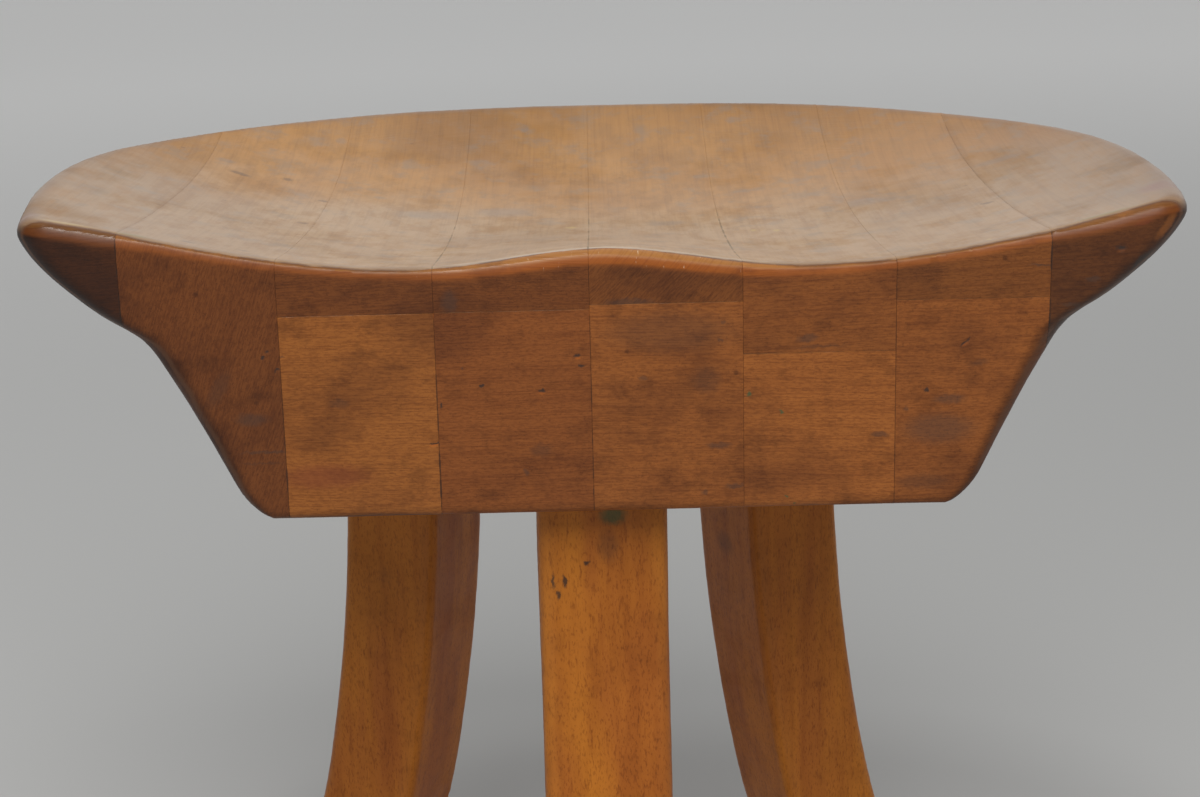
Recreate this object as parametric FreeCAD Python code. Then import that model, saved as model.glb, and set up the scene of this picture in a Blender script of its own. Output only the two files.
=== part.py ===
"""Tripod stool with a scooped, edge-glued hardwood seat and three sabre legs.

The seat is a block glued up from upright staves, most of them two boards high, and then carved:
a saddle hollow on top, coved flanks, a flat front. Each leg is sawn to a sabre curve and held to the
underside by a pair of glued dowels. The finished stool stands on the floor, centred on the origin.
Millimetres, +Z up. The front faces -Y, so +X is to the right of someone who looks at the front.
"""

import FreeCAD, Part
import math
import os

from FreeCAD import Vector

# Seat block
BLOCK_HEIGHT = 127.0          # underside to the level of the back rim
SEAT_WIDTH = 478.0            # across the widest place
FRONT_WIDTH = 455.0           # across the front
SEAT_DEPTH = 325.0            # flat front to back rim
WIDEST_SETBACK = 100.0        # from the front to the widest place
OUTLINE_POWER = 2.7           # squareness of the rounded back, where 2 is an ellipse
WING_CORNER_RADIUS = 14.0     # upright corners at the two ends of the front, down to the cove
HEEL_CORNER_RADIUS = 7.0      # the same corners at the underside
RIM_RADIUS = 6.0              # rounding between the hollow and the outside
BASE_RADIUS = 4.0             # rounding of the front's lower edge

# Coved flanks, given as drops below the back rim and insets from the outline
NOSE_DROP = 8.0               # the outside is upright down to here
COVE_DROP = 54.0              # where the thin wing runs into the deep block
COVE_INSET = 46.5
BASE_INSET = 85.5             # where the flank would meet the underside without its rounded heel
HEEL_RISE = 14.0              # height of the rounded heel, a quarter ellipse in section
HEEL_INSET = 8.6              # how far it turns in
BACK_INSET_SHARE = 0.85       # the back is undercut a little less than the sides
WING_POWER = 1.55             # roundness of the wing
FLANK_POWER = 0.85            # slackness of the flank under it

# Saddle hollow
SCOOP_DEPTH = 39.5            # floor of the hollow below the back rim
SIDE_POWER = 2.4              # how late the hollow climbs to the side rims
BACK_POWER = 3.0              # and to the back rim
LIP_RISE = 9.5                # floor of the hollow up to the front edge
LIP_LENGTH = 150.0
POMMEL_RISE = 10.5            # swelling between the thighs, above the front edge
POMMEL_HALF_WIDTH = 54.0
POMMEL_LENGTH = 110.0
HAND_TILT = 0.0112            # fall of the front edge towards +X, as it was carved by hand
LEFT_TIP_DROP = 7.0           # the left tip was dressed lower than the right one
LEFT_TIP_LENGTH = 65.0

# Staves, numbered outwards from the joint nearest the middle; the wing tips take what is left
STAVES_EACH_SIDE = 3
LEFT_STAVE_WIDTH = 61.0
RIGHT_STAVE_WIDTH = 60.0
MIDDLE_JOINT_X = -6.0
GLUE_LINE_DEPTHS = {          # level glue lines, below the floor of the hollow
    "left_stave_1": 4.0,
    "left_stave_2": 4.2,
    "right_stave_1": 2.2,
    "right_stave_2": 23.3,
    "right_stave_3": 3.2,
}

# Legs
LEG_HEIGHT = 330.0            # floor to the seat's underside
LEG_WIDTH = 54.0              # square to the plane of the curve
LEG_THICKNESS = 48.0          # in the plane of the curve
LEG_UPPER_RADIUS = 900.0      # of the centre line, which leaves the seat plumb
LEG_LOWER_RADIUS = 400.0
LEG_BEND_DROP = 190.0         # from the seat down to where the tighter curve begins
LEG_EDGE_RADIUS = 5.0
SOLE_CHAMFER = 1.5
LEG_SET_RADIUS = 94.0         # tripod axis to the middle of a leg's top
TRIPOD_SETBACK = 142.0        # front of the seat to the tripod axis
TRIPOD_OFFSET_X = -7.0        # the legs stand a little off the seat's middle
TRIPOD_SKEW = 2.0             # and are turned a little, in degrees
LEG_BEARINGS = {"front_leg": -90.0, "right_leg": 26.0, "left_leg": 154.0}   # degrees from +X

# Leg dowels
DOWEL_DIAMETER = 12.0
DOWEL_IN_LEG = 40.0
DOWEL_IN_SEAT = 40.0
DOWEL_EDGE_DISTANCE = 13.0    # side of the leg to the dowel's axis
DOWEL_END_CHAMFER = 1.0
GLUE_GAP = 0.05               # round a dowel in its hole
HOLE_END_ROOM = 2.0           # beyond each end of a dowel

OVERRUN = 40.0                # how far a cutting solid runs past what it cuts
MEASURING_STEP = 0.05         # fineness with which the whole is measured before it is centred


def flank_inset(drop):
    """How far the outside has come in at a drop below the back rim."""
    if drop <= NOSE_DROP:
        return 0.0
    if drop <= COVE_DROP:
        return COVE_INSET * ((drop - NOSE_DROP) / (COVE_DROP - NOSE_DROP)) ** WING_POWER
    share = (drop - COVE_DROP) / (BLOCK_HEIGHT - COVE_DROP)
    flank = COVE_INSET + (BASE_INSET - COVE_INSET) * share ** FLANK_POWER
    heel = max(0.0, 1 - (BLOCK_HEIGHT - drop) / HEEL_RISE)
    return flank + HEEL_INSET * (1 - math.sqrt(1 - heel ** 2))


def corner_radius(drop):
    """Radius of the two upright front corners at a drop below the back rim."""
    share = max(0.0, (drop - COVE_DROP) / (BLOCK_HEIGHT - COVE_DROP))
    return WING_CORNER_RADIUS + (HEEL_CORNER_RADIUS - WING_CORNER_RADIUS) * share


def front_half_width(inset, y):
    """Half the seat's width between the front and the widest place."""
    taper = (SEAT_WIDTH - FRONT_WIDTH) / 2
    return SEAT_WIDTH / 2 - inset - taper * (1 - y / WIDEST_SETBACK) ** 2


def corner_turn():
    """The angle through which a front corner turns, from along the front to along the side."""
    taper = (SEAT_WIDTH - FRONT_WIDTH) / 2
    return math.pi / 2 - math.atan(2 * taper / WIDEST_SETBACK)


def sides_and_back(drop):
    """Points of an outline from the right front corner, round the back, to the left one."""
    side_steps, back_steps = 3, 8
    inset = flank_inset(drop)
    corner_y = corner_radius(drop) * (1 - math.cos(corner_turn()))
    half_width = SEAT_WIDTH / 2 - inset
    back_length = SEAT_DEPTH - WIDEST_SETBACK - inset * BACK_INSET_SHARE
    right = []
    for i in range(side_steps):
        y = corner_y + (WIDEST_SETBACK - corner_y) * i / side_steps
        right.append((front_half_width(inset, y), y))
    for i in range(back_steps):
        angle = math.pi / 2 * i / back_steps
        x = half_width * math.cos(angle) ** (2 / OUTLINE_POWER)
        y = WIDEST_SETBACK + back_length * math.sin(angle) ** (2 / OUTLINE_POWER)
        right.append((x, y))
    left = [(-x, y) for x, y in reversed(right)]
    return right + [(0.0, WIDEST_SETBACK + back_length)] + left


def sweep_parameters():
    """Lengths along the rim outline, shared by all outlines so that they match point for point."""
    points = sides_and_back(0)
    lengths = [0.0]
    for start, end in zip(points, points[1:]):
        lengths.append(lengths[-1] + math.dist(start, end))
    return lengths


def outline_wire(drop):
    """The level outline of the seat at a drop below the back rim."""
    points = sides_and_back(drop)
    turn = corner_turn()
    radius = corner_radius(drop)
    corner_x, corner_y = points[0]
    front_x = corner_x - radius * math.sin(turn)
    middle_x = front_x + radius * math.sin(turn / 2)
    middle_y = radius * (1 - math.cos(turn / 2))

    def at(x, y):
        return Vector(x, y, BLOCK_HEIGHT - drop)

    sweep = Part.BSplineCurve()
    sweep.interpolate(
        Points=[at(x, y) for x, y in points],
        Parameters=sweep_parameters(),
        InitialTangent=Vector(math.cos(turn), math.sin(turn), 0),
        FinalTangent=Vector(math.cos(turn), -math.sin(turn), 0),
        Scale=False,
    )
    front = Part.LineSegment(at(-front_x, 0), at(front_x, 0))
    right_corner = Part.Arc(at(front_x, 0), at(middle_x, middle_y), at(corner_x, corner_y))
    left_corner = Part.Arc(at(-corner_x, corner_y), at(-middle_x, middle_y), at(-front_x, 0))
    return Part.Wire([curve.toShape() for curve in (front, right_corner, sweep, left_corner)])


def hollow_height(x, y):
    """Height of the carved top above the underside."""
    if y < WIDEST_SETBACK:
        across, along = abs(x) / front_half_width(0, y), 0.0
    else:
        across = 2 * abs(x) / SEAT_WIDTH
        along = (y - WIDEST_SETBACK) / (SEAT_DEPTH - WIDEST_SETBACK)
    squareness = OUTLINE_POWER / SIDE_POWER
    climb = (across ** OUTLINE_POWER + along ** (BACK_POWER * squareness)) ** (1 / squareness)
    lip = LIP_RISE * max(0.0, 1 - y / LIP_LENGTH) ** 2
    pommel = POMMEL_RISE * math.exp(-((x / POMMEL_HALF_WIDTH) ** 2) - (y / POMMEL_LENGTH) ** 2)
    fall = HAND_TILT * x * (1 - y / SEAT_DEPTH)
    on_tip = max(0.0, 1 - (SEAT_WIDTH / 2 + x) / LEFT_TIP_LENGTH)
    dressing = LEFT_TIP_DROP * on_tip ** 2 * math.exp(-((y / LEFT_TIP_LENGTH) ** 2))
    return BLOCK_HEIGHT - (SCOOP_DEPTH - lip) * (1 - climb) + pommel - fall - dressing


def hollow_cutter():
    """A solid whose lower face is the saddle hollow."""
    columns, rows = 25, 19
    low_x, high_x = -SEAT_WIDTH / 2 - OVERRUN, SEAT_WIDTH / 2 + OVERRUN
    low_y, high_y = -OVERRUN, SEAT_DEPTH + OVERRUN
    xs = [low_x + (high_x - low_x) * i / (columns - 1) for i in range(columns)]
    ys = [low_y + (high_y - low_y) * i / (rows - 1) for i in range(rows)]
    hollow = Part.BSplineSurface()
    hollow.interpolate([[Vector(x, y, hollow_height(x, y)) for y in ys] for x in xs])
    return hollow.toShape().extrude(Vector(0, 0, BLOCK_HEIGHT + OVERRUN))


def foot_cutter():
    """A bar that takes off the lower front edge and leaves it round."""
    reach = SEAT_WIDTH / 2 + OVERRUN

    def at(y, z):
        return Vector(-reach, y, z)

    corners = [
        at(BASE_RADIUS, 0),
        at(BASE_RADIUS, -OVERRUN),
        at(-OVERRUN, -OVERRUN),
        at(-OVERRUN, BASE_RADIUS),
        at(0, BASE_RADIUS),
    ]
    middle = BASE_RADIUS * (1 - math.sqrt(0.5))
    edges = [Part.LineSegment(start, end).toShape() for start, end in zip(corners, corners[1:])]
    edges.append(Part.Arc(corners[-1], at(middle, middle), corners[0]).toShape())
    return Part.Face(Part.Wire(edges)).extrude(Vector(2 * reach, 0, 0))


def carved_block():
    """The seat before it is divided: underside at height 0, front at y = 0."""
    wing_steps, flank_steps, heel_steps = 5, 5, 6
    heel_drop = BLOCK_HEIGHT - HEEL_RISE
    drops = [-OVERRUN, -OVERRUN / 2, NOSE_DROP]
    drops += [NOSE_DROP + (COVE_DROP - NOSE_DROP) * (i + 1) / wing_steps for i in range(wing_steps)]
    drops += [COVE_DROP + (heel_drop - COVE_DROP) * (i + 1) / flank_steps for i in range(flank_steps)]
    heel_angles = [math.pi / 2 * (i + 1) / heel_steps for i in range(heel_steps)]
    drops += [heel_drop + HEEL_RISE * math.sin(angle) for angle in heel_angles]
    block = Part.makeLoft([outline_wire(drop) for drop in reversed(drops)], True, False)
    block = block.cut(hollow_cutter()).Solids[0]
    hollow = max(block.Faces, key=lambda face: face.CenterOfMass.z)
    block = block.makeFillet(RIM_RADIUS, hollow.OuterWire.Edges)
    return block.cut(foot_cutter()).Solids[0]


def slab(low_x, high_x, low_z, high_z):
    """A box over the whole depth of the seat."""
    depth = SEAT_DEPTH + 2 * OVERRUN
    return Part.makeBox(high_x - low_x, depth, high_z - low_z, Vector(low_x, -OVERRUN, low_z))


def stave_spans():
    """Each stave's name with its two upright faces, from the middle joint out to the wing tips."""
    spans = {}
    for side, step in (("left", -LEFT_STAVE_WIDTH), ("right", RIGHT_STAVE_WIDTH)):
        inner = MIDDLE_JOINT_X
        for number in range(1, STAVES_EACH_SIDE + 1):
            outer = inner + step
            spans[f"{side}_stave_{number}"] = (min(inner, outer), max(inner, outer))
            inner = outer
        outer = math.copysign(SEAT_WIDTH / 2 + OVERRUN, step)
        spans[f"{side}_wing_tip"] = (min(inner, outer), max(inner, outer))
    return spans


def seat_boards(block):
    """The block, in its place over the floor, divided at its glue lines."""
    bottom, top = LEG_HEIGHT - OVERRUN, LEG_HEIGHT + BLOCK_HEIGHT + OVERRUN
    hollow_floor = LEG_HEIGHT + BLOCK_HEIGHT - SCOOP_DEPTH
    boards = {}
    for stave, (low_x, high_x) in stave_spans().items():
        if stave in GLUE_LINE_DEPTHS:
            glue_line = hollow_floor - GLUE_LINE_DEPTHS[stave]
            boards[stave + "_lower"] = block.common(slab(low_x, high_x, bottom, glue_line))
            boards[stave + "_upper"] = block.common(slab(low_x, high_x, glue_line, top))
        else:
            boards[stave] = block.common(slab(low_x, high_x, bottom, top))
    return boards


def sabre_leg():
    """One leg, set out along +X from the tripod axis at its place on the floor.

    Its two faces are offsets of a centre line of two arcs that meet in line at the bend.
    """
    bend_angle = math.asin(LEG_BEND_DROP / LEG_UPPER_RADIUS)
    upper_centre = Vector(LEG_SET_RADIUS + LEG_UPPER_RADIUS, 0, LEG_HEIGHT)
    towards_centres = Vector(math.cos(bend_angle), 0, math.sin(bend_angle))
    lower_centre = upper_centre - towards_centres * (LEG_UPPER_RADIUS - LEG_LOWER_RADIUS)

    def on_arc(centre, radius, angle):
        return centre - Vector(math.cos(angle), 0, math.sin(angle)) * radius

    def face(offset):
        """The arcs of one face from the seat down to the floor."""
        upper, lower = LEG_UPPER_RADIUS + offset, LEG_LOWER_RADIUS + offset
        floor_angle = math.asin(lower_centre.z / lower)
        spans = [(upper_centre, upper, 0.0, bend_angle), (lower_centre, lower, bend_angle, floor_angle)]
        arcs = []
        for centre, radius, start, end in spans:
            angles = (start, (start + end) / 2, end)
            arcs.append(Part.Arc(*[on_arc(centre, radius, angle) for angle in angles]))
        return arcs

    outer, inner = face(-LEG_THICKNESS / 2), face(LEG_THICKNESS / 2)
    ends = [
        Part.LineSegment(outer[0].StartPoint, inner[0].StartPoint),
        Part.LineSegment(outer[1].EndPoint, inner[1].EndPoint),
    ]
    edges = [curve.toShape() for curve in outer + inner + ends]
    blank = Part.Face(Part.Wire(Part.__sortEdges__(edges)))
    blank.translate(Vector(0, -LEG_WIDTH / 2, 0))
    leg = blank.extrude(Vector(0, LEG_WIDTH, 0))
    long_edges = [edge for edge in leg.Edges if isinstance(edge.Curve, Part.Circle)]
    leg = leg.makeFillet(LEG_EDGE_RADIUS, long_edges)
    sole = min(leg.Faces, key=lambda face: face.CenterOfMass.z)
    return leg.makeChamfer(SOLE_CHAMFER, sole.OuterWire.Edges)


def dowel_places():
    """The middles of one leg's two dowels, where they cross from the leg into the seat."""
    reach = LEG_WIDTH / 2 - DOWEL_EDGE_DISTANCE
    return [Vector(LEG_SET_RADIUS, side * reach, LEG_HEIGHT) for side in (-1, 1)]


def upright_rod(place, radius, below, above):
    """A round rod that reaches below and above a place."""
    return Part.makeCylinder(radius, below + above, place - Vector(0, 0, below))


def dowel(place):
    rod = upright_rod(place, DOWEL_DIAMETER / 2, DOWEL_IN_LEG, DOWEL_IN_SEAT)
    ends = [edge for edge in rod.Edges if edge.isClosed()]
    return rod.makeChamfer(DOWEL_END_CHAMFER, ends)


def dowel_hole(place):
    radius = DOWEL_DIAMETER / 2 + GLUE_GAP
    return upright_rod(place, radius, DOWEL_IN_LEG + HOLE_END_ROOM, DOWEL_IN_SEAT + HOLE_END_ROOM)


def set_out(shape, bearing):
    """A copy of a leg's piece, turned to the leg's bearing and moved under the seat."""
    moved = shape.copy()
    moved.rotate(Vector(), Vector(0, 0, 1), bearing + TRIPOD_SKEW)
    moved.translate(Vector(TRIPOD_OFFSET_X, TRIPOD_SETBACK, 0))
    return moved


def stool():
    """Every piece by name, with the front of the seat at y = 0."""
    holes = [dowel_hole(place) for place in dowel_places()]
    leg = sabre_leg().cut(holes)
    block = carved_block()
    block.translate(Vector(0, 0, LEG_HEIGHT))
    pieces = {}
    for name, bearing in LEG_BEARINGS.items():
        pieces[name] = set_out(leg, bearing)
        for number, place in enumerate(dowel_places(), 1):
            pieces[f"{name}_dowel_{number}"] = set_out(dowel(place), bearing)
        block = block.cut([set_out(hole, bearing) for hole in holes])
    pieces.update(seat_boards(block))
    return pieces


def centred(pieces):
    """The pieces moved so that the origin is on the floor under the middle of the whole."""
    points, _ = Part.makeCompound(list(pieces.values())).tessellate(MEASURING_STEP)
    box = FreeCAD.BoundBox()
    for point in points:
        box.add(point)
    for shape in pieces.values():
        shape.translate(Vector(-box.Center.x, -box.Center.y, -box.ZMin))
    print("overall size", round(box.XLength, 1), round(box.YLength, 1), round(box.ZLength, 1))
    return pieces


os.makedirs("parts", exist_ok=True)
for node, shape in centred(stool()).items():
    shape.exportStep(f"parts/{node}.step")
    print(node, len(shape.Solids), shape.isValid(), round(shape.Volume / 1000, 2), "cm3")
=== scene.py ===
"""Looks of the tripod stool: hand-carved boards with a worn front rim and dark joints, oiled sabre legs.

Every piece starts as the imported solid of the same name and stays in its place. Metres, +Z up, front at -Y.
"""

import math

import bmesh
import bpy
from mathutils import Matrix, Vector, noise


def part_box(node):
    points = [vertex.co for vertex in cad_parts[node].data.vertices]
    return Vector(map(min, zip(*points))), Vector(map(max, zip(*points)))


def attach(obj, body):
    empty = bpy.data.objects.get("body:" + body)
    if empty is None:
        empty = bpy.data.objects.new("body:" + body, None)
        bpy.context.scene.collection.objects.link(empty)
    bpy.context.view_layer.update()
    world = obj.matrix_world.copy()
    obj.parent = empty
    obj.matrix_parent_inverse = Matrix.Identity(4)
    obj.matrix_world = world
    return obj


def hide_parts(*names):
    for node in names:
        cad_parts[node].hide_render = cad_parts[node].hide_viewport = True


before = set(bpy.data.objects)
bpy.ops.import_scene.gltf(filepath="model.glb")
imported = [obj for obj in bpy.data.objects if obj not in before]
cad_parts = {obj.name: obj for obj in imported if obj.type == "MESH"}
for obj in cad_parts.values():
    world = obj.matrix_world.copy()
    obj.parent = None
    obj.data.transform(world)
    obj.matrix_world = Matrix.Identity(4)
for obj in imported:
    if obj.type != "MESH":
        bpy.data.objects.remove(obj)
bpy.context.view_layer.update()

MM = 0.001

# Camera of the photograph
CAMERA_PLACE = Vector((-0.0021, -0.9483, 0.5963))
CAMERA_PITCH = math.radians(15.0)       # below level
CAMERA_ROLL = math.radians(1.35)        # the right side of the picture sits high
CAMERA_LENS, CAMERA_SENSOR = 64.26, 36.0        # millimetres

# Meshing of the pieces
CELL = 2.0 * MM
OCTREE_DEPTH = 8
JOIN_DISTANCE = 0.001 * MM
ARRIS_ANGLE = math.radians(40)          # edges that turn more than this are arrises
ARRIS_EASING = 0.08 * MM
GLUE_TOLERANCE = 0.05 * MM

# Traces of the hand tools: size of the waves and how far they stand proud or shy
WAVE_LENGTH, WAVE_HEIGHT = 48 * MM, 0.22 * MM
RIPPLE_LENGTH, RIPPLE_HEIGHT = 15 * MM, 0.05 * MM

# Curvature, per metre, at which a rim starts to wear and at which it is fully worn; on the legs, where their
# painted sheen starts and where it is full
WEAR_AND_SHEEN_START, WEAR_AND_SHEEN_FULL = 60.0, 140.0
WEAR_AND_SHEEN_SPREADINGS = 3                     # times that the wear and sheen mask is averaged with the vertices around

# Seat boards: the tilt of the growth rings in degrees, how pale and how red the stain took, and the gloss.
# The paleness of the upper boards and the wing tips is also painted shade: darker under the rim and at the
# tips
BOARDS = {
    "left_wing_tip": (3, 0.20, 1.0, 0.6),
    "left_stave_3": (70, 0.50, 0.8, 0.1),
    "left_stave_2_upper": (2, 0.53, 0.7, 0.0),
    "left_stave_2_lower": (-1, 0.95, 0.1, 0.0),
    "left_stave_1_upper": (-2, 0.54, 0.7, 0.0),
    "left_stave_1_lower": (1, 0.76, 0.7, 0.0),
    "right_stave_1_upper": (45, 0.58, 0.5, 0.0),
    "right_stave_1_lower": (-1, 0.90, 0.4, 0.0),
    "right_stave_2_upper": (2, 0.75, 0.5, 0.0),
    "right_stave_2_lower": (-2, 1.00, 0.3, 0.0),
    "right_stave_3_upper": (3, 0.62, 0.4, 0.1),
    "right_stave_3_lower": (1, 0.84, 0.5, 0.0),
    "right_wing_tip": (2, 0.34, 0.6, 0.7),
}
LEGS = ("front_leg", "left_leg", "right_leg")

# Joints between staves, from left to right: how dark at the foot of the front, at its top and in the hollow
SEAMS = (
    (0.7, 0.8, 0.05),
    (0.8, 0.1, 0.0),
    (0.95, 0.3, 0.9),
    (0.75, 0.4, 1.0),
    (0.25, 0.3, 1.0),
    (0.45, 0.5, 0.05),
    (0.8, 0.9, 0.05),
)
GLUE_LINE_DARKNESS = 0.4

FRONT_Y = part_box("left_stave_1_lower")[0].y
UNDERSIDE_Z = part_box("left_stave_1_lower")[0].z
SEAM_RISE = (UNDERSIDE_Z + 0.02, UNDERSIDE_Z + 0.09)    # where a joint's foot ends and its top starts
SEAM_DEPTH = (0.0, 0.1)                 # where a joint in the hollow starts to fade and where it ends
RIM_RADIUS = 6.0 * MM
RIM_SQUARENESS = 4.0                    # of the rim's section beside the pommel, where 2 is a plain round
RIM_FACING = 0.02                       # the least that the rim's skin faces up and forward
POMMEL_REACH = (0.030, 0.085)           # from the middle: where the swelling falls and where it ends
TIP_REACH = (0.170, 0.195)              # from the middle: where a tip starts and where it is full
SEAM_PLACES = sorted({round(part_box(board)[0].x, 6) for board in BOARDS if board != "left_wing_tip"})


def glued_planes(board):
    """The planes, as axis and coordinate, in which a board is glued to its neighbours."""
    low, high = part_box(board)
    planes = []
    if board != "left_wing_tip":
        planes.append((0, low.x))
    if board != "right_wing_tip":
        planes.append((0, high.x))
    if board.endswith("_upper"):
        planes.append((2, low.z))
    if board.endswith("_lower"):
        planes.append((2, high.z))
    return planes


def even_quads(node):
    """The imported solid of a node, its loose triangles joined, remade in even quads with crisp arrises."""
    joined = bmesh.new()
    joined.from_mesh(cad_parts[node].data)
    bmesh.ops.remove_doubles(joined, verts=joined.verts, dist=JOIN_DISTANCE)
    blank = bpy.data.meshes.new(node)
    joined.to_mesh(blank)
    joined.free()
    holder = bpy.data.objects.new(node, blank)
    bpy.context.collection.objects.link(holder)
    remesh = holder.modifiers.new("even_quads", "REMESH")
    remesh.mode = "SHARP"
    remesh.octree_depth = OCTREE_DEPTH
    remesh.scale = max(holder.dimensions) / (CELL * 2 ** OCTREE_DEPTH)
    remesh.use_remove_disconnected = False
    evaluated = holder.evaluated_get(bpy.context.evaluated_depsgraph_get())
    even = bmesh.new()
    even.from_mesh(evaluated.to_mesh())
    bpy.data.objects.remove(holder)
    bpy.data.meshes.remove(blank)
    even.normal_update()
    return even


def share_of_way(value, start, end):
    """0 before the start, 1 after the end, even in between."""
    return min(1.0, max(0.0, (value - start) / (end - start)))


def on_planes(point, planes):
    """The axes of the planes that a point lies on."""
    return [axis for axis, place in planes if abs(point[axis] - place) < GLUE_TOLERANCE]


def skin_normal(vert, planes):
    """The direction of the skin at a vertex, along the glued planes it lies on; none in a joint."""
    skin = [face.normal for face in vert.link_faces if not on_planes(face.calc_center_median(), planes)]
    normal = sum(skin, Vector())
    for axis in on_planes(vert.co, planes):
        normal[axis] = 0.0
    return normal.normalized()


def carve(shape, planes):
    """Leaves the faint waves of spokeshave and scraper on the skin, but keeps the glued faces flat."""
    moves = []
    for vert in shape.verts:
        height = WAVE_HEIGHT * noise.noise(vert.co / WAVE_LENGTH)
        height += RIPPLE_HEIGHT * noise.noise(vert.co / RIPPLE_LENGTH)
        moves.append((vert, skin_normal(vert, planes) * height))
    for vert, move in moves:
        vert.co += move
    shape.normal_update()


def paint_wear_and_sheen(shape):
    """Writes on each vertex how far its rim is worn, and on a leg how much painted sheen it gets, from how
    sharply the skin turns outwards there.
    """
    wear_and_sheen = shape.verts.layers.float.new("wear_and_sheen")
    for vert in shape.verts:
        turns = [edge.calc_face_angle_signed(0.0) for edge in vert.link_edges]
        if max(abs(turn) for turn in turns) > ARRIS_ANGLE:
            continue
        curvature = sum(turns) / (2 * CELL)
        vert[wear_and_sheen] = share_of_way(curvature, WEAR_AND_SHEEN_START, WEAR_AND_SHEEN_FULL)
    for _ in range(WEAR_AND_SHEEN_SPREADINGS):
        spread = []
        for vert in shape.verts:
            around = [edge.other_vert(vert)[wear_and_sheen] for edge in vert.link_edges]
            spread.append((vert[wear_and_sheen] + sum(around)) / (1 + len(around)))
        for vert, value in zip(shape.verts, spread):
            vert[wear_and_sheen] = value


def square_rim(shape, planes):
    """Squares the round front rim a little beside the pommel, where it is less worn."""
    moves = []
    for vert in shape.verts:
        normal = skin_normal(vert, planes)
        if vert.co.y > FRONT_Y + RIM_RADIUS or normal.z < RIM_FACING or normal.y > -RIM_FACING:
            continue
        full = abs(normal.y) ** RIM_SQUARENESS + normal.z ** RIM_SQUARENESS
        full = full ** (-1 / RIM_SQUARENESS)
        plain = math.hypot(normal.y, normal.z) ** -1
        beside = share_of_way(abs(vert.co.x), *POMMEL_REACH)
        beside *= 1 - share_of_way(abs(vert.co.x), *TIP_REACH)
        outwards = Vector((0.0, normal.y, normal.z)).normalized()
        moves.append((vert, outwards * RIM_RADIUS * (full / plain - 1) * beside))
    for vert, move in moves:
        vert.co += move
    shape.normal_update()


def ease_arrises(shape):
    """Breaks the sharp edges by a hair."""
    arrises = [edge for edge in shape.edges if edge.calc_face_angle(0.0) > ARRIS_ANGLE]
    bmesh.ops.bevel(
        shape, geom=arrises, offset=ARRIS_EASING, offset_type="OFFSET", segments=1, profile=0.5,
        affect="EDGES", material=-1,
    )


def finish_piece(shape, node, material):
    """Makes a shaped mesh the piece that stands for its node."""
    mesh = bpy.data.meshes.new(node + "_carved")
    shape.to_mesh(mesh)
    shape.free()
    mesh.shade_smooth()
    mesh.set_sharp_from_angle(angle=ARRIS_ANGLE)
    mesh.materials.append(material)
    piece = bpy.data.objects.new(node + "_carved", mesh)
    bpy.context.collection.objects.link(piece)
    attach(piece, "root")
    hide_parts(node)


# Dents, stains and painted shade

# What a mark is coloured with, and how strongly
STAINS_AND_SHADE = {
    "ink": ((0.030, 0.020, 0.016), 0.85),
    "smear": ((0.060, 0.034, 0.024), 0.5),
    # The 'shade' entry is painted shade, not a stain: darkening laid on the front and on the legs under the
    # seat.
    "shade": ((0.070, 0.030, 0.016), 0.4),
    "green": ((0.045, 0.085, 0.035), 0.75),
    "red": ((0.170, 0.036, 0.014), 0.5),
    "amber": ((0.34, 0.11, 0.02), 0.45),
    "grey": ((0.20, 0.17, 0.15), 0.35),
    "ochre": ((0.46, 0.33, 0.11), 0.6),
    "plum": ((0.19, 0.075, 0.070), 0.55),
    "olive": ((0.22, 0.17, 0.05), 0.6),
}

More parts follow.
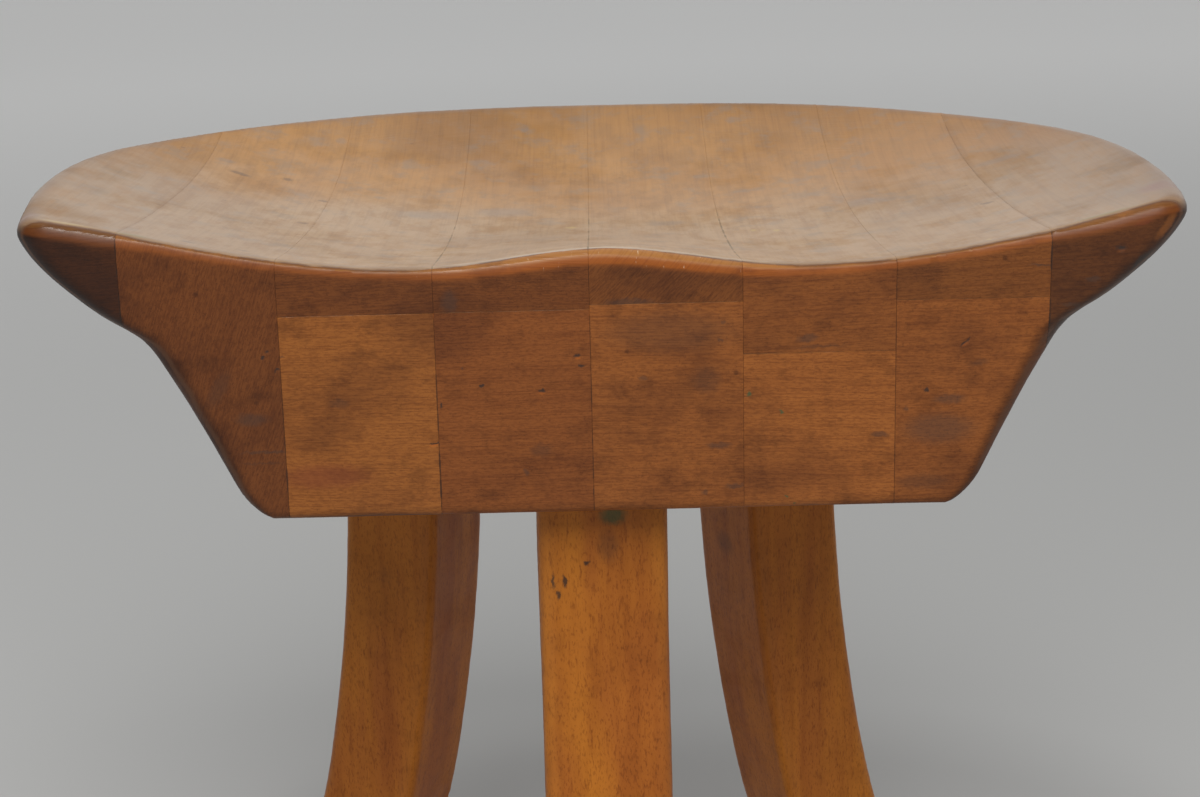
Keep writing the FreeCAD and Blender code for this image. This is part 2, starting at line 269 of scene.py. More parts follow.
# Marks on the flat front: x and height, length and width in millimetres, turn in degrees, stain; the 'shade'
# ones are painted shade
FRONT_MARKS = (
    (141.9, 396.9, 6.0, 1.6, 45, "ink"),
    (-132, 399.5, 3.0, 1.2, 15, "ink"), (-134, 397, 2.4, 1.4, 0, "ink"), (-129, 392, 2.6, 1.6, 20, "ink"),
    (-126.5, 397, 3.4, 1.0, 0, "smear"), (-10.6, 395, 3.4, 2.4, 0, "ink"), (-9, 391, 2.6, 1.8, 0, "ink"),
    (-25, 381, 4.2, 2.0, -8, "ink"), (-48.6, 384, 2.2, 2.0, 0, "ink"), (-56, 391, 2.0, 1.4, 0, "smear"),
    (15, 385.5, 4.6, 2.2, 0, "smear"), (45.5, 400, 2.6, 2.0, 0, "smear"), (46.6, 407, 2.6, 2.2, 0, "smear"),
    (-32, 348, 3.0, 3.0, 0, "smear"), (-65, 376, 1.6, 3.0, 0, "ink"), (119, 370, 3.0, 2.0, 0, "smear"),
    (126.6, 378, 2.4, 1.8, 0, "ink"), (39, 337.5, 3.6, 2.6, 0, "smear"), (-60, 418, 8, 12, 0, "smear"),
    (10, 416, 24, 4, 0, "smear"), (56.7, 377.7, 2.4, 2.4, 0, "green"), (69.5, 370.3, 2.0, 1.8, 0, "green"),
    (71.7, 335, 2.0, 1.4, 0, "green"), (74.6, 332, 1.6, 1.4, 0, "green"), (-68, 360.3, 6.0, 1.2, 10, "ink"),
    (-25.7, 356.7, 11, 7, 0, "shade"), (-105, 378, 10, 5, 0, "shade"), (108.7, 360, 9, 2.8, 0, "smear"),
    (135.8, 374, 16, 5, 0, "smear"), (51, 340, 10, 2.0, 0, "smear"), (44.6, 357, 12, 3.0, 0, "smear"),
    (147.6, 388.5, 10, 3.4, 10, "shade"), (-135, 358.6, 24, 1.6, 0, "smear"),
    (-137, 354, 20, 1.2, 0, "shade"), (-112, 348, 44, 13, 0, "red"),
    (132, 362, 34, 16, 0, "smear"), (126, 340, 26, 8, 0, "shade"),
    (80, 400, 10, 4, 10, "smear"), (85, 396.5, 26, 2, 2, "shade"), (40, 384, 14, 14, 0, "shade"),
    (-140, 372, 16, 7, 0, "smear"), (-152, 385, 20, 8, 60, "shade"), (170.5, 427, 12, 0.9, -6, "smear"),
    (201.6, 433, 5, 3.4, 0, "ink"), (191, 421, 8, 3, 0, "smear"), (210, 443, 9, 4, 15, "red"),
    (203, 446, 8, 3, 15, "amber"), (219, 441, 5, 16, -35, "amber"), (211, 428, 12, 5, 40, "ink"),
    (183, 411, 9, 2, 0, "smear"), (26, 404, 64, 22, 0, "shade"),
)

# Marks in the hollow: x and y, length and width in millimetres, turn in degrees, stain
HOLLOW_MARKS = (
    (-79, 40, 42, 22, 10, "grey"), (-45, 50, 34, 22, 0, "grey"), (-131, 142, 7, 9, 0, "grey"),
    (-150, 77, 7, 6, 0, "smear"), (-130, 47, 6, 5, 0, "smear"), (-132, -8, 6, 5, 30, "smear"),
    (-181, 87, 12, 8, 0, "grey"), (-172, 71, 14, 6, -20, "smear"), (-105, 67, 8, 7, 0, "grey"),
    (-163, -115, 7, 4, 0, "smear"), (-142, -112, 6, 3, 0, "smear"), (69, 167, 6, 8, 0, "grey"),
    (-38, 164, 6, 7, 0, "grey"), (201, 39, 8, 7, 0, "grey"), (168, -28, 7, 6, 0, "smear"),
    (187, 51, 30, 12, 0, "grey"), (172, -86, 18, 7, 20, "grey"), (-183, -125, 18, 7, 0, "olive"),
    (-209, -124, 26, 5, -3, "ochre"), (-229, -118, 18, 24, 0, "plum"),
    (-13, 11, 6, 7, 0, "ochre"), (78, -11, 4, 7, 0, "ochre"), (68, -7, 3, 6, 0, "ochre"),
    (152, -121, 3, 5, 0, "ochre"), (227, -98, 26, 24, 0, "plum"), (196, -124, 30, 6, 0, "olive"),
    (120, 30, 30, 20, 0, "grey"), (30, 20, 24, 14, 20, "grey"),
)

# Stains on the legs, and painted shadow from the seat at their tops: leg, place, half sizes in millimetres,
# stain
LEG_MARKS = (
    ("front_leg", (-23.5, -108, 293), (0.9, 8, 4.5), "ink"),
    ("front_leg", (-18.5, -108, 293), (0.9, 8, 3.6), "ink"),
    ("front_leg", (-21.3, -108, 287), (1.2, 8, 2.2), "ink"),
    ("front_leg", (-9, -108, 300.7), (1.8, 8, 1.2), "ink"),
    ("front_leg", (2, -107.5, 321), (7, 8, 5), "green"),
    # The 'shade' marks here are painted shadow that the seat casts on the upper legs.
    ("front_leg", (0, -107.5, 308), (6, 8, 9), "shade"),
    ("right_leg", (57, 46, 255), (9, 9, 7), "shade"),
    ("left_leg", (-110, 20, 250), (8, 9, 9), "shade"),
)

# Dents pressed into the front: x and height, length, width and depth in millimetres, turn in degrees
DENTS = (
    (141.9, 396.9, 5.0, 1.6, 0.3, 45),
    (-68.5, 360.3, 5.0, 1.4, 0.3, 10),
    (-25, 381, 4.0, 2.4, 0.2, -8),
    (-10.6, 395, 3.4, 2.8, 0.2, 0),
    (-9, 391, 2.6, 2.2, 0.15, 0),
    (-132, 399.5, 3.0, 1.6, 0.2, 15),
    (201.6, 433, 4.6, 3.4, 0.25, 0),
)
DENT_MARGIN = 3                         # millimetres of finer facets round a dent
DENT_CUTS = 3


def press_dents(shape, board):
    """Presses the front's dents into a board, in facets fine enough to hold them."""
    low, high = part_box(board)
    for x, height, length, width, depth, turn in DENTS:
        centre = Vector((x * MM, FRONT_Y, height * MM))
        if not (low.x < centre.x < high.x and low.z < centre.z < high.z):
            continue
        reach = (length / 2 + DENT_MARGIN) * MM
        near = [
            edge for edge in shape.edges
            if all((vert.co - centre).length < reach for vert in edge.verts)
        ]
        bmesh.ops.subdivide_edges(shape, edges=near, cuts=DENT_CUTS, use_grid_fill=True)
        angle = math.radians(turn)
        for vert in shape.verts:
            away = vert.co - centre
            if away.length > reach:
                continue
            along = (away.x * math.cos(angle) + away.z * math.sin(angle)) / (length / 2 * MM)
            across = (away.z * math.cos(angle) - away.x * math.sin(angle)) / (width / 2 * MM)
            fall = max(0.0, 1 - along ** 2 - across ** 2)
            vert.co.y += depth * MM * fall
    shape.normal_update()


# Materials


def feed(tree, socket, value):
    """Sets a socket to a value, or links it to the socket that feeds it."""
    if isinstance(value, bpy.types.NodeSocket):
        tree.links.new(value, socket)
    else:
        socket.default_value = value


def add(tree, kind, inputs=None, **settings):
    """A new node with its settings and its inputs."""
    made = tree.nodes.new(kind)
    for name, value in settings.items():
        setattr(made, name, value)
    for name, value in (inputs or {}).items():
        feed(tree, made.inputs[name], value)
    return made


def calc(tree, operation, first, second=0.0):
    return add(tree, "ShaderNodeMath", {0: first, 1: second}, operation=operation).outputs[0]


def times(tree, first, second):
    return calc(tree, "MULTIPLY", first, second)


def opposite(tree, value):
    return calc(tree, "SUBTRACT", 1.0, value)


def between(tree, value, low, high):
    """0 below low, 1 above high, smooth in between."""
    node = add(
        tree, "ShaderNodeMapRange", {"Value": value, "From Min": low, "From Max": high},
        interpolation_type="SMOOTHSTEP",
    )
    return node.outputs["Result"]


def mixed(tree, factor, first, second, blend="MIX"):
    """Two colours mixed by a factor."""
    node = add(tree, "ShaderNodeMix", data_type="RGBA", blend_type=blend, clamp_factor=True)
    for socket, value in ((0, factor), (6, first), (7, second)):
        feed(tree, node.inputs[socket], value)
    return node.outputs[2]


def darkened(tree, colour, factor, strength, tint):
    """A colour multiplied by a tint where the factor says so."""
    return mixed(tree, times(tree, factor, strength), colour, (*tint, 1.0), "MULTIPLY")


def cloud(tree, place, scale, detail=3.0, roughness=0.55):
    """Noise with its own scale along each axis, per metre."""
    stretched = add(tree, "ShaderNodeVectorMath", {0: place, 1: scale}, operation="MULTIPLY")
    inputs = {
        "Vector": stretched.outputs["Vector"], "Scale": 1.0, "Detail": detail, "Roughness": roughness,
    }
    return add(tree, "ShaderNodeTexNoise", inputs).outputs


def components(tree, vector):
    return add(tree, "ShaderNodeSeparateXYZ", {0: vector}).outputs


def new_group(name, inputs, outputs):
    """An empty shader group with its sockets, as name to socket type."""
    group = bpy.data.node_groups.new(name, "ShaderNodeTree")
    for socket, kind in inputs.items():
        group.interface.new_socket(socket, in_out="INPUT", socket_type="NodeSocket" + kind)
    for socket, kind in outputs.items():
        group.interface.new_socket(socket, in_out="OUTPUT", socket_type="NodeSocket" + kind)
    return group, group.nodes.new("NodeGroupInput").outputs, group.nodes.new("NodeGroupOutput").inputs


def layered_grain_group():
    """Growth layers that lie flat and run along Y: fine lines and bands on the end grain, and pores."""
    group, given, result = new_group(
        "layered_grain", {"Place": "Vector"},
        {"Fine": "Float", "Medium": "Float", "Broad": "Float", "Pores": "Float"},
    )
    place = given["Place"]
    fine = cloud(group, place, (420, 14, 1500), 2.0)["Fac"]
    medium = cloud(group, place, (45, 8, 1500))["Fac"]
    broad = cloud(group, place, (9, 4, 110))["Fac"]
    pores = cloud(group, place, (1300, 90, 1300), 1.0)["Fac"]
    group.links.new(between(group, fine, 0.42, 0.64), result["Fine"])
    group.links.new(between(group, medium, 0.44, 0.66), result["Medium"])
    group.links.new(between(group, broad, 0.42, 0.68), result["Broad"])
    group.links.new(between(group, pores, 0.60, 0.72), result["Pores"])
    return group


def patina_group():
    """Old stain: broad clouds, handling marks, small specks, and a place with ragged edges for marks."""
    group, given, result = new_group(
        "patina", {"Place": "Vector"},
        {"Clouds": "Float", "Blots": "Float", "Specks": "Float", "Ragged": "Vector"},
    )
    place = given["Place"]
    clouds = cloud(group, place, (17, 17, 26), 5.0, 0.62)["Fac"]
    blots = cloud(group, place, (60, 60, 90), 5.0, 0.65)["Fac"]
    specks = add(group, "ShaderNodeTexVoronoi", {"Vector": place, "Scale": 95.0, "Randomness": 1.0})
    rare = add(group, "ShaderNodeSeparateColor", {"Color": specks.outputs["Color"]}).outputs["Red"]
    near = opposite(group, between(group, specks.outputs["Distance"], 0.05, 0.14))
    tatter = cloud(group, place, (420, 420, 420), 3.0)["Color"]
    shift = add(group, "ShaderNodeVectorMath", {0: tatter, 1: (0.5, 0.5, 0.5)}, operation="SUBTRACT")
    ragged = add(
        group, "ShaderNodeVectorMath", {0: shift.outputs["Vector"], 1: (3.4 * MM,) * 3, 2: place},
        operation="MULTIPLY_ADD",
    )
    group.links.new(between(group, clouds, 0.44, 0.66), result["Clouds"])
    group.links.new(between(group, blots, 0.51, 0.68), result["Blots"])
    group.links.new(times(group, near, between(group, rare, 0.80, 0.84)), result["Specks"])
    group.links.new(ragged.outputs["Vector"], result["Ragged"])
    return group


def mark_group():
    """One mark, a stain or a patch of painted shade: full inside an ellipsoid of the given half sizes, gone
    at its skin.
    """
    group, given, result = new_group(
        "mark", {"Place": "Vector", "Centre": "Vector", "Turn": "Vector", "Half": "Vector"},
        {"Mask": "Float"},
    )
    inside = add(
        group, "ShaderNodeMapping",
        {
            "Vector": given["Place"], "Location": given["Centre"],
            "Rotation": given["Turn"], "Scale": given["Half"],
        },
        vector_type="TEXTURE",
    ).outputs["Vector"]
    away = add(group, "ShaderNodeVectorMath", {0: inside}, operation="LENGTH").outputs["Value"]
    group.links.new(opposite(group, between(group, away, 0.35, 1.1)), result["Mask"])
    return group


# The front's worn rim, seen from above
BARE_WIDTH = 2.0 * MM                   # from the front to the dirty line, between pommel and tips
WIDER_AT_POMMEL, WIDER_AT_TIP, WIDTH_WOBBLE = 3.2 * MM, 2.0 * MM, 2.0 * MM
LINE_BLUR = 0.15 * MM
LINE_FADE = (0.3 * MM, 1.2 * MM)        # from the line's middle: where it fades and where it ends
SCUFF_WIDTH, SCUFF_WIDER_AT_POMMEL = 4.0 * MM, 5.0 * MM


def front_rim_group():
    """The worn rim of the front: bare wood up to a dirty line, and a pale scuffed strip behind it."""
    group, given, result = new_group(
        "front_rim", {"Place": "Vector", "Upward": "Float"},
        dict.fromkeys(("Behind", "Line", "Scuff", "Bare", "Crown", "Nicks", "Pommel"), "Float"),
    )
    place = given["Place"]
    spot = components(group, place)
    off_middle = calc(group, "ABSOLUTE", spot["X"])
    pommel = opposite(group, between(group, off_middle, *POMMEL_REACH))
    at_tip = between(group, off_middle, *TIP_REACH)
    wider_at_pommel = times(group, pommel, WIDER_AT_POMMEL)
    width = calc(group, "ADD", wider_at_pommel, times(group, at_tip, WIDER_AT_TIP))
    wobble = calc(group, "SUBTRACT", cloud(group, place, (70, 30, 70), 4.0)["Fac"], 0.5)
    width = calc(group, "ADD", width, times(group, wobble, WIDTH_WOBBLE))
    depth = calc(group, "SUBTRACT", spot["Y"], FRONT_Y + BARE_WIDTH)
    behind_line = calc(group, "SUBTRACT", depth, width)
    behind = between(group, behind_line, -LINE_BLUR, LINE_BLUR)
    off_line = calc(group, "ABSOLUTE", behind_line)
    patchy = between(group, cloud(group, place, (90, 90, 90))["Fac"], 0.3, 0.5)
    line = times(group, opposite(group, between(group, off_line, *LINE_FADE)), patchy)
    reach = calc(group, "ADD", SCUFF_WIDTH, times(group, pommel, SCUFF_WIDER_AT_POMMEL))
    full, gone = times(group, reach, 0.6), times(group, reach, 1.1)
    scuff = opposite(group, between(group, behind_line, full, gone))
    bare = times(group, between(group, given["Upward"], 0.0, 0.24), opposite(group, behind))
    nicks = cloud(group, place, (900, 120, 200), 2.0)["Fac"]
    group.links.new(behind, result["Behind"])
    group.links.new(line, result["Line"])
    group.links.new(times(group, scuff, behind), result["Scuff"])
    group.links.new(bare, result["Bare"])
    group.links.new(times(group, between(group, given["Upward"], 0.42, 0.78), bare), result["Crown"])
    group.links.new(times(group, between(group, nicks, 0.70, 0.78), bare), result["Nicks"])
    group.links.new(pommel, result["Pommel"])
    return group


SEAM_WIDTH, SEAM_WIDER_IF_DARK = 0.12 * MM, 0.42 * MM


def seam_group():
    """A glued joint as a thin dark line that comes and goes."""
    group, given, result = new_group(
        "seam", {"Place": "Vector", "Distance": "Float", "Darkness": "Float"}, {"Mask": "Float"},
    )
    uneven = cloud(group, given["Place"], (110, 110, 110), 4.0, 0.6)["Fac"]
    darkness = times(group, given["Darkness"], between(group, uneven, 0.3, 0.6))
    width = calc(group, "ADD", SEAM_WIDTH, times(group, darkness, SEAM_WIDER_IF_DARK))
    line = opposite(group, between(group, given["Distance"], times(group, width, 0.35), width))
    group.links.new(times(group, line, darkness), result["Mask"])
    return group


def fleck_group():
    """Wood of the legs: short dark flecks along the grain, and broad golden and red streaks."""
    group, given, result = new_group(
        "flecks", {"Place": "Vector"},
        {"Flecks": "Float", "Dashes": "Float", "Streaks": "Float", "Glow": "Float"},
    )
    place = given["Place"]
    flecks = cloud(group, place, (1400, 1400, 480), 2.0)["Fac"]
    dashes = cloud(group, place, (620, 620, 150), 2.0)["Fac"]
    streaks = cloud(group, place, (150, 150, 8), 3.0)["Fac"]
    glow = cloud(group, place, (34, 34, 5), 3.0)["Fac"]
    group.links.new(between(group, flecks, 0.52, 0.68), result["Flecks"])
    group.links.new(between(group, dashes, 0.56, 0.70), result["Dashes"])
    group.links.new(between(group, streaks, 0.42, 0.66), result["Streaks"])
    group.links.new(between(group, glow, 0.40, 0.62), result["Glow"])
    return group


LAYERED_GRAIN = layered_grain_group()
PATINA = patina_group()
MARK = mark_group()
FRONT_RIM = front_rim_group()
SEAM = seam_group()
FLECKS = fleck_group()


def grouped(tree, group, inputs):
    node = add(tree, "ShaderNodeGroup", node_tree=group)
    for name, value in inputs.items():
        feed(tree, node.inputs[name], value)
    return node.outputs


def new_material(name):
    material = bpy.data.materials.new(name)
    material.use_nodes = True
    tree = material.node_tree
    return material, tree, tree.nodes["Principled BSDF"].inputs


def attribute(tree, name):
    return add(tree, "ShaderNodeAttribute", attribute_name=name).outputs["Fac"]


def blended(first, second, share):
    return tuple(a + (b - a) * share for a, b in zip(first, second))


def shade(colour, factor=1.0):
    return tuple(channel * factor for channel in colour) + (1.0,)


def relief(tree, height):
    """The normal of faintly raised grain."""
    inputs = {"Strength": 0.2, "Distance": 0.15 * MM, "Height": height}
    return add(tree, "ShaderNodeBump", inputs).outputs["Normal"]


def stained_and_shaded(tree, colour, ragged, centre, turn, half, stain_and_shade):
    """A colour with one mark on it: its place and half sizes in millimetres, its turn in radians."""
    tint, strength = STAINS_AND_SHADE[stain_and_shade]
    mask = grouped(tree, MARK, {
        "Place": ragged, "Centre": tuple(value * MM for value in centre), "Turn": turn,
        "Half": tuple(value * MM for value in half),
    })["Mask"]
    return mixed(tree, times(tree, mask, strength), colour, shade(tint))


BROWN_STAIN = (0.330, 0.112, 0.021)
RED_STAIN = (0.320, 0.092, 0.020)
FLANK_TONE = 0.5
HOLLOW_BLEACHED_AND_SHEEN = (0.41, 0.262, 0.142)
HOLLOW_WARM = (0.42, 0.204, 0.054)
HOLLOW_BROWN = (0.30, 0.150, 0.046)
HOLLOW_GRIME = (0.22, 0.170, 0.130)
SCUFFED = (0.52, 0.42, 0.31)
GOLDEN = (0.36, 0.21, 0.095)
HANDLED = (0.17, 0.095, 0.05)
BARE_RIM = (0.37, 0.096, 0.008)
BARE_CROWN_AND_LEG_SHEEN = (0.46, 0.19, 0.045)
RIM_LINE = (0.11, 0.045, 0.020)
SOOT = (0.030, 0.017, 0.012)
OLD_GLUE = (0.12, 0.085, 0.035)
NICK = (0.70, 0.55, 0.38)
DARK_LAYER = (0.50, 0.40, 0.36)
FRONT_CORNER = (FRONT_Y + 0.004, FRONT_Y + 0.05)       # where the front corners' handling grime and painted shade start to fade and end
MARK_DEPTH = 12.0                       # millimetres that a mark on the front reaches into the wood
THROUGH = 1e5                           # millimetres, so that a mark in the hollow counts at any height


def outside_colour(tree, board, grain, patina, flank):
    """The stained outside of a board. On the flanks, where boards feather out, all have one tone."""
    _, tone, redness, _ = BOARDS[board]
    own = shade(blended(BROWN_STAIN, RED_STAIN, redness), tone)
    colour = mixed(tree, flank, own, shade(RED_STAIN, FLANK_TONE))
    colour = darkened(tree, colour, grain["Broad"], 0.25, (0.66, 0.58, 0.56))
    colour = darkened(tree, colour, grain["Medium"], 0.35, DARK_LAYER)
    colour = darkened(tree, colour, grain["Fine"], 0.42, DARK_LAYER)
    colour = darkened(tree, colour, grain["Pores"], 0.35, (0.40, 0.34, 0.34))
    colour = darkened(tree, colour, patina["Clouds"], 0.75, (0.56, 0.52, 0.54))
    colour = darkened(tree, colour, patina["Blots"], 0.50, (0.52, 0.48, 0.45))
    return darkened(tree, colour, patina["Specks"], 0.6, (0.30, 0.26, 0.26))


def hollow_colour(tree, board, place, patina):
    """The hollow, bleached and rubbed: grey in front, partly a painted sheen where the slope faces back and
    up, golden on its rear wall, darker at the ends.
    """
    _, tone, _, _ = BOARDS[board]
    evenness = 0.92 + 0.08 * tone
    spot = components(tree, place)
    drift = cloud(tree, place, (9, 7, 9), 4.0, 0.6)["Fac"]
    wander = times(tree, calc(tree, "SUBTRACT", drift, 0.5), 0.16)
    back = calc(tree, "ADD", spot["Y"], wander)
    warm = between(tree, back, 0.0, 0.085)
    # The grey in front of the hollow is bleached finish with a painted sheen in it.
    colour = mixed(tree, warm, shade(HOLLOW_BLEACHED_AND_SHEEN, evenness), shade(HOLLOW_WARM, evenness))
    colour = darkened(tree, colour, between(tree, back, 0.11, 0.18), 0.55, (0.74, 0.72, 0.72))
    off_middle = calc(tree, "ABSOLUTE", spot["X"])
    colour = darkened(tree, colour, between(tree, off_middle, 0.16, 0.24), 0.6, (0.62, 0.58, 0.56))
    # Painted shade: the hollow darkens from just right of the middle towards the right.
    colour = darkened(tree, colour, between(tree, spot["X"], 0.04, 0.16), 0.7, (0.84, 0.80, 0.76))
    mottle = cloud(tree, place, (110, 55, 110), 5.0, 0.7)["Fac"]
    streaks = cloud(tree, place, (330, 6, 30), 3.0)["Fac"]
    fine = cloud(tree, place, (900, 30, 60), 2.0)["Fac"]
    browned = times(tree, between(tree, mottle, 0.44, 0.62), 0.55)
    colour = mixed(tree, browned, colour, shade(HOLLOW_BROWN))
    colour = darkened(tree, colour, between(tree, drift, 0.45, 0.62), 0.5, (0.70, 0.64, 0.56))
    colour = darkened(tree, colour, between(tree, streaks, 0.45, 0.65), 0.22, (0.72, 0.68, 0.66))
    colour = darkened(tree, colour, between(tree, fine, 0.48, 0.68), 0.28, (0.72, 0.68, 0.66))
    colour = mixed(tree, times(tree, patina["Blots"], 0.42), colour, shade(HOLLOW_GRIME))
    return darkened(tree, colour, patina["Specks"], 0.4, (0.45, 0.42, 0.40))


def joints(tree, board, place, hollow, sideways):
    """How dark the joints with the neighbours are; they fade where a flank runs along the glue plane."""
    spot = components(tree, place)
    across = opposite(tree, between(tree, sideways, 0.45, 0.75))
    rise = between(tree, spot["Z"], *SEAM_RISE)
    forward = opposite(tree, between(tree, spot["Y"], *SEAM_DEPTH))
    mask = 0.0
    for axis, place_on_axis in glued_planes(board):
        if axis == 0:
            nearest = min(range(len(SEAMS)), key=lambda i: abs(SEAM_PLACES[i] - place_on_axis))
            foot, head, inside = SEAMS[nearest]
            front = calc(tree, "ADD", foot, times(tree, rise, head - foot))
            front = times(tree, front, opposite(tree, hollow))
            top = times(tree, times(tree, forward, inside), hollow)
            darkness = times(tree, calc(tree, "ADD", front, top), across)
            distance = calc(tree, "ABSOLUTE", calc(tree, "SUBTRACT", spot["X"], place_on_axis))
        else:
            darkness = GLUE_LINE_DARKNESS
            distance = calc(tree, "ABSOLUTE", calc(tree, "SUBTRACT", spot["Z"], place_on_axis))
        line = grouped(tree, SEAM, {"Place": place, "Distance": distance, "Darkness": darkness})
        mask = calc(tree, "MAXIMUM", mask, line["Mask"])
    return mask


def board_wood(board, number):
    """Stained hardwood of one seat board, with the front's worn rim, the marks that it picked up, and
    painted shade.
    """
    tilt, tone, _, gloss = BOARDS[board]
    material, tree, surface = new_material(board + "_wood")
    place = add(tree, "ShaderNodeTexCoord").outputs["Object"]
    facing = components(tree, add(tree, "ShaderNodeNewGeometry").outputs["Normal"])
    upward, sideways = facing["Z"], calc(tree, "ABSOLUTE", facing["X"])
    shift = (0.31 * number, 0.37 * number, 0.0)      # so that no two boards have the same grain
    lean = (0.0, math.radians(tilt), 0.0)
    turned = add(
        tree, "ShaderNodeMapping", {"Vector": place, "Location": shift, "Rotation": lean},
    ).outputs["Vector"]
    grain = grouped(tree, LAYERED_GRAIN, {"Place": turned})
    patina = grouped(tree, PATINA, {"Place": place})
    rim = grouped(tree, FRONT_RIM, {"Place": place, "Upward": upward})
    hollow = times(tree, between(tree, upward, 0.35, 0.75), rim["Behind"])

    in_front = opposite(tree, between(tree, components(tree, place)["Y"], *FRONT_CORNER))
    flank = times(tree, between(tree, sideways, 0.3, 0.6), opposite(tree, in_front))
    outside = outside_colour(tree, board, grain, patina, flank)
    # Painted shade, with handling grime: the front darkens where it turns towards the flanks.
    corner_grime_and_shade = times(tree, between(tree, sideways, 0.04, 0.6), in_front)
    outside = darkened(tree, outside, corner_grime_and_shade, 0.8, (0.36, 0.34, 0.36))
    inside = hollow_colour(tree, board, place, patina)
    rubbed_strip = mixed(tree, rim["Pommel"], shade(GOLDEN), shade(SCUFFED))
    inside = mixed(tree, times(tree, rim["Scuff"], 0.65), inside, rubbed_strip)
    low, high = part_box(board)
    for x, z, length, width, turn, stain_and_shade in FRONT_MARKS:
        if low.x < x * MM < high.x and low.z < z * MM < high.z:
            centre, half = (x, FRONT_Y / MM, z), (length / 2, MARK_DEPTH, width / 2)
            lean = (0, -math.radians(turn), 0)
            outside = stained_and_shaded(tree, outside, patina["Ragged"], centre, lean, half, stain_and_shade)
    for x, y, length, width, turn, stain_and_shade in HOLLOW_MARKS:
        if board.endswith("_lower") or not low.x < x * MM < high.x:
            continue
        centre, half = (x, y, 0.0), (length / 2, width / 2, THROUGH)
        lean = (0, 0, math.radians(turn))
        inside = stained_and_shaded(tree, inside, patina["Ragged"], centre, lean, half, stain_and_shade)

    rim_tone = tone ** 0.5
    bare = mixed(tree, rim["Crown"], shade(BARE_RIM, rim_tone), shade(BARE_CROWN_AND_LEG_SHEEN, rim_tone))
    bare = darkened(tree, bare, grain["Medium"], 0.35, (0.62, 0.48, 0.40))
    bare = darkened(tree, bare, patina["Blots"], 0.4, (0.50, 0.40, 0.36))
    bare = mixed(tree, times(tree, rim["Nicks"], times(tree, rim["Pommel"], 0.6)), bare, shade(NICK))
    bareness = calc(tree, "ADD", 0.6, times(tree, rim["Pommel"], 0.35))
    colour = mixed(tree, times(tree, rim["Bare"], bareness), outside, bare)
    colour = mixed(tree, hollow, colour, inside)
    handled = times(tree, attribute(tree, "wear_and_sheen"), between(tree, upward, 0.05, 0.4))
    handled = times(tree, handled, rim["Behind"])
    colour = mixed(tree, times(tree, handled, 0.75), colour, shade(HANDLED))
    colour = mixed(tree, times(tree, rim["Line"], 0.7), colour, shade(RIM_LINE))
    glue = mixed(tree, hollow, shade(SOOT), shade(OLD_GLUE))
    colour = mixed(tree, joints(tree, board, place, hollow, sideways), colour, glue)
    tree.links.new(colour, surface["Base Color"])

    dull = calc(tree, "ADD", 0.48 - 0.1 * gloss, times(tree, patina["Clouds"], 0.10))
    dull = calc(tree, "ADD", dull, times(tree, rim["Bare"], 0.15))
    dull = calc(tree, "SUBTRACT", dull, times(tree, rim["Crown"], 0.42))
    tree.links.new(dull, surface["Roughness"])
    sheen = calc(tree, "SUBTRACT", 0.40 - 0.4 * gloss, times(tree, patina["Clouds"], 0.2))
    tree.links.new(calc(tree, "ADD", 0.15 * gloss, times(tree, hollow, sheen)), surface["Coat Weight"])
    tree.links.new(relief(tree, grain["Medium"]), surface["Normal"])
    surface["Specular IOR Level"].default_value = 0.25
    surface["Coat Roughness"].default_value = 0.3
    return material


LEG_GOLD = (0.47, 0.155, 0.016)
LEG_RED = (0.37, 0.108, 0.015)


def leg_wood(leg):
    """Oiled honey-brown wood with short dark flecks, its grain along the leg."""
    material, tree, surface = new_material(leg + "_wood")
    place = add(tree, "ShaderNodeTexCoord").outputs["Object"]
    flecks = grouped(tree, FLECKS, {"Place": place})
    patina = grouped(tree, PATINA, {"Place": place})
    colour = mixed(tree, flecks["Glow"], shade(LEG_GOLD), shade(LEG_RED))
    colour = darkened(tree, colour, flecks["Streaks"], 0.40, (0.70, 0.60, 0.55))
    colour = darkened(tree, colour, flecks["Dashes"], 0.45, (0.52, 0.42, 0.40))
    colour = darkened(tree, colour, flecks["Flecks"], 0.55, (0.50, 0.40, 0.40))
    colour = darkened(tree, colour, patina["Clouds"], 0.25, (0.70, 0.66, 0.66))
    colour = darkened(tree, colour, patina["Blots"], 0.25, (0.55, 0.50, 0.50))
    for name, centre, half, stain_and_shade in LEG_MARKS:
        if name == leg:
            colour = stained_and_shaded(tree, colour, patina["Ragged"], centre, (0, 0, 0), half, stain_and_shade)
    # Painted sheen: the legs' rounded edges are made paler with the bare rim's colour.
    colour = mixed(tree, times(tree, attribute(tree, "wear_and_sheen"), 0.2), colour, shade(BARE_CROWN_AND_LEG_SHEEN))
    tree.links.new(colour, surface["Base Color"])
    tree.links.new(calc(tree, "ADD", 0.36, times(tree, patina["Clouds"], 0.1)), surface["Roughness"])
    tree.links.new(relief(tree, flecks["Dashes"]), surface["Normal"])
    surface["Specular IOR Level"].default_value = 0.18
    return material


def dowel_wood():
    """Bare pale wood of the dowels."""
    material, tree, surface = new_material("dowel_bare_wood")
    place = add(tree, "ShaderNodeTexCoord").outputs["Object"]
    flecks = grouped(tree, FLECKS, {"Place": place})
    colour = mixed(tree, flecks["Streaks"], (0.60, 0.43, 0.24, 1), (0.47, 0.31, 0.16, 1))
    colour = darkened(tree, colour, flecks["Flecks"], 0.4, (0.65, 0.55, 0.45))
    tree.links.new(colour, surface["Base Color"])
    surface["Roughness"].default_value = 0.7
    return material


# Seat, legs and dowels

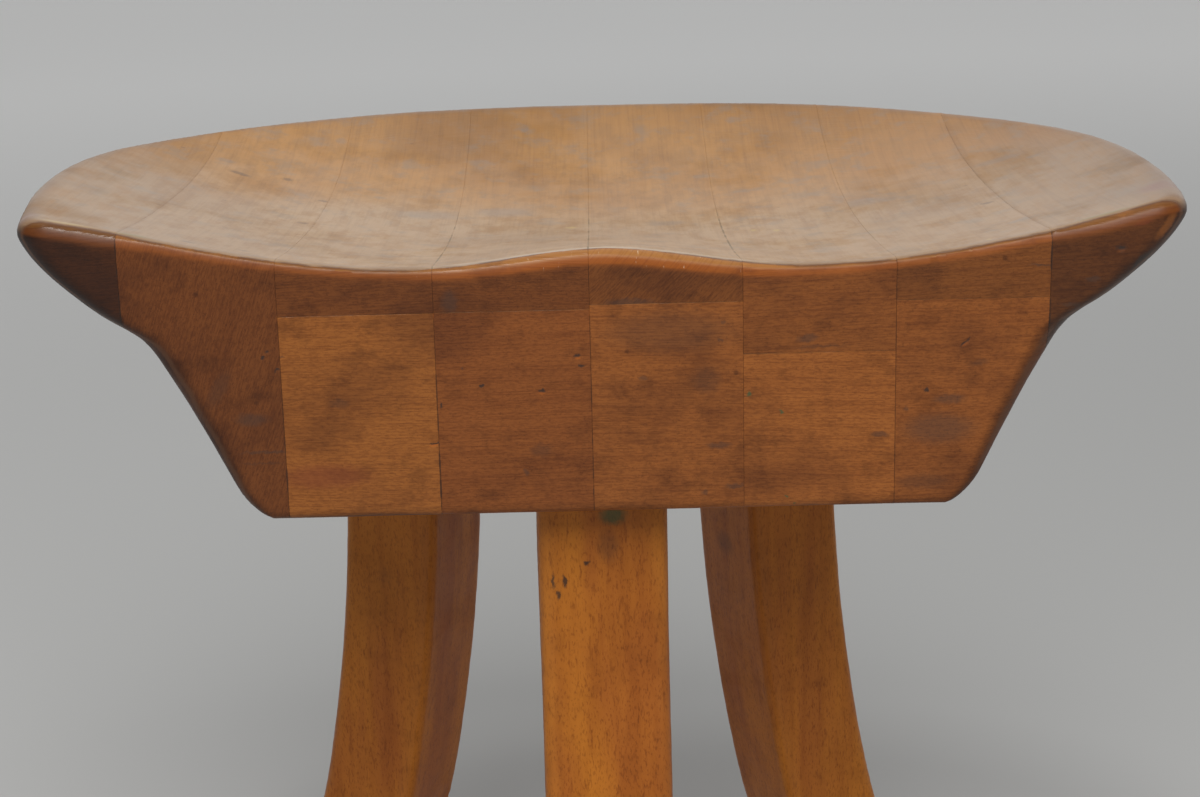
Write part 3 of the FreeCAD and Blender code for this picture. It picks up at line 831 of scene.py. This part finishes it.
for number, board in enumerate(BOARDS):
    glued = glued_planes(board)
    shape = even_quads(board)
    paint_wear_and_sheen(shape)
    square_rim(shape, glued)
    carve(shape, glued + [(2, UNDERSIDE_Z)])
    press_dents(shape, board)
    ease_arrises(shape)
    finish_piece(shape, board, board_wood(board, number))

for leg in LEGS:
    leg_low, leg_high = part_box(leg)
    ends = [(2, leg_low.z), (2, leg_high.z)]
    shape = even_quads(leg)
    paint_wear_and_sheen(shape)
    carve(shape, ends)
    ease_arrises(shape)
    finish_piece(shape, leg, leg_wood(leg))

bare_wood = dowel_wood()
for name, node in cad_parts.items():
    if "dowel" in name:
        node.material_slots[0].material = bare_wood


# Floor, light and camera

FLOOR_RADIUS = 40.0
FLOOR_NEAR, FLOOR_FAR = (0.45, 0.45, 0.44, 1), (0.96, 0.96, 0.95, 1)
FLOOR_MIDDLE = (0.6, 0.0, 0.0)          # of the painted shade on the floor
FLOOR_FADE = (0.2, 5.0)                 # from there: where the painted light on the paper starts and where it is brightest
FLOOR_SEGMENTS = 96
KEY_PLACE, KEY_SIZE, KEY_POWER = Vector((0.1, -1.5, 1.9)), 1.3, 36.5
OVERHEAD_PLACE, OVERHEAD_SIZE, OVERHEAD_POWER = Vector((-0.3, -0.6, 2.2)), 0.35, 7.0
AIM = Vector((0.0, 0.0, 0.35))
SURROUND_DIM, SURROUND_BRIGHT = 0.16, 0.88
BRIGHT_SIDE = Vector((0.25, 0.85, 0.48))        # the studio is bright behind and above the stool
GLOW_FADE = (0.1, 0.95)                 # cosines of the angle to that side, dim and bright


def paper_floor():
    """A wide sheet of grey paper, with painted light: darker round a spot right of the stool, paler far
    away.
    """
    sheet = bmesh.new()
    bmesh.ops.create_circle(sheet, cap_ends=True, segments=FLOOR_SEGMENTS, radius=FLOOR_RADIUS)
    mesh = bpy.data.meshes.new("floor")
    sheet.to_mesh(mesh)
    sheet.free()
    floor = bpy.data.objects.new("floor", mesh)
    bpy.context.collection.objects.link(floor)
    material, tree, surface = new_material("grey_paper")
    place = add(tree, "ShaderNodeTexCoord").outputs["Object"]
    away = add(tree, "ShaderNodeVectorMath", {0: place, 1: FLOOR_MIDDLE}, operation="DISTANCE")
    painted_light_falloff = between(tree, away.outputs["Value"], *FLOOR_FADE)
    # Painted light and shade: the paper's colour gets paler with distance from that spot.
    tree.links.new(mixed(tree, painted_light_falloff, FLOOR_NEAR, FLOOR_FAR), surface["Base Color"])
    surface["Roughness"].default_value = 0.9
    mesh.materials.append(material)


def soft_light(name, place, size, power):
    lamp = bpy.data.lights.new(name, "AREA")
    lamp.size = size
    lamp.energy = power
    light = bpy.data.objects.new(name, lamp)
    light.location = place
    light.rotation_euler = (AIM - place).to_track_quat("-Z", "Y").to_euler()
    bpy.context.collection.objects.link(light)


def studio_world():
    """A soft surround, bright behind and above, dimmer in front."""
    world = bpy.data.worlds.new("studio")
    world.use_nodes = True
    tree = world.node_tree
    towards = add(tree, "ShaderNodeTexCoord").outputs["Generated"]
    directions = {0: towards, 1: BRIGHT_SIDE.normalized()}
    side = add(tree, "ShaderNodeVectorMath", directions, operation="DOT_PRODUCT")
    glow = between(tree, side.outputs["Value"], *GLOW_FADE)
    colour = mixed(tree, glow, shade((SURROUND_DIM,) * 3), shade((SURROUND_BRIGHT,) * 3))
    tree.links.new(colour, tree.nodes["Background"].inputs["Color"])
    bpy.context.scene.world = world


def photograph_camera():
    data = bpy.data.cameras.new("photograph")
    data.sensor_width = CAMERA_SENSOR
    data.lens = CAMERA_LENS
    camera = bpy.data.objects.new("photograph", data)
    tilt = Matrix.Rotation(math.pi / 2 - CAMERA_PITCH, 4, "X")
    roll = Matrix.Rotation(-CAMERA_ROLL, 4, "Z")
    camera.matrix_world = Matrix.Translation(CAMERA_PLACE) @ tilt @ roll
    bpy.context.collection.objects.link(camera)
    bpy.context.scene.camera = camera


paper_floor()
studio_world()
soft_light("key", KEY_PLACE, KEY_SIZE, KEY_POWER)
soft_light("overhead", OVERHEAD_PLACE, OVERHEAD_SIZE, OVERHEAD_POWER)
photograph_camera()
bpy.context.scene.view_settings.view_transform = "Standard"
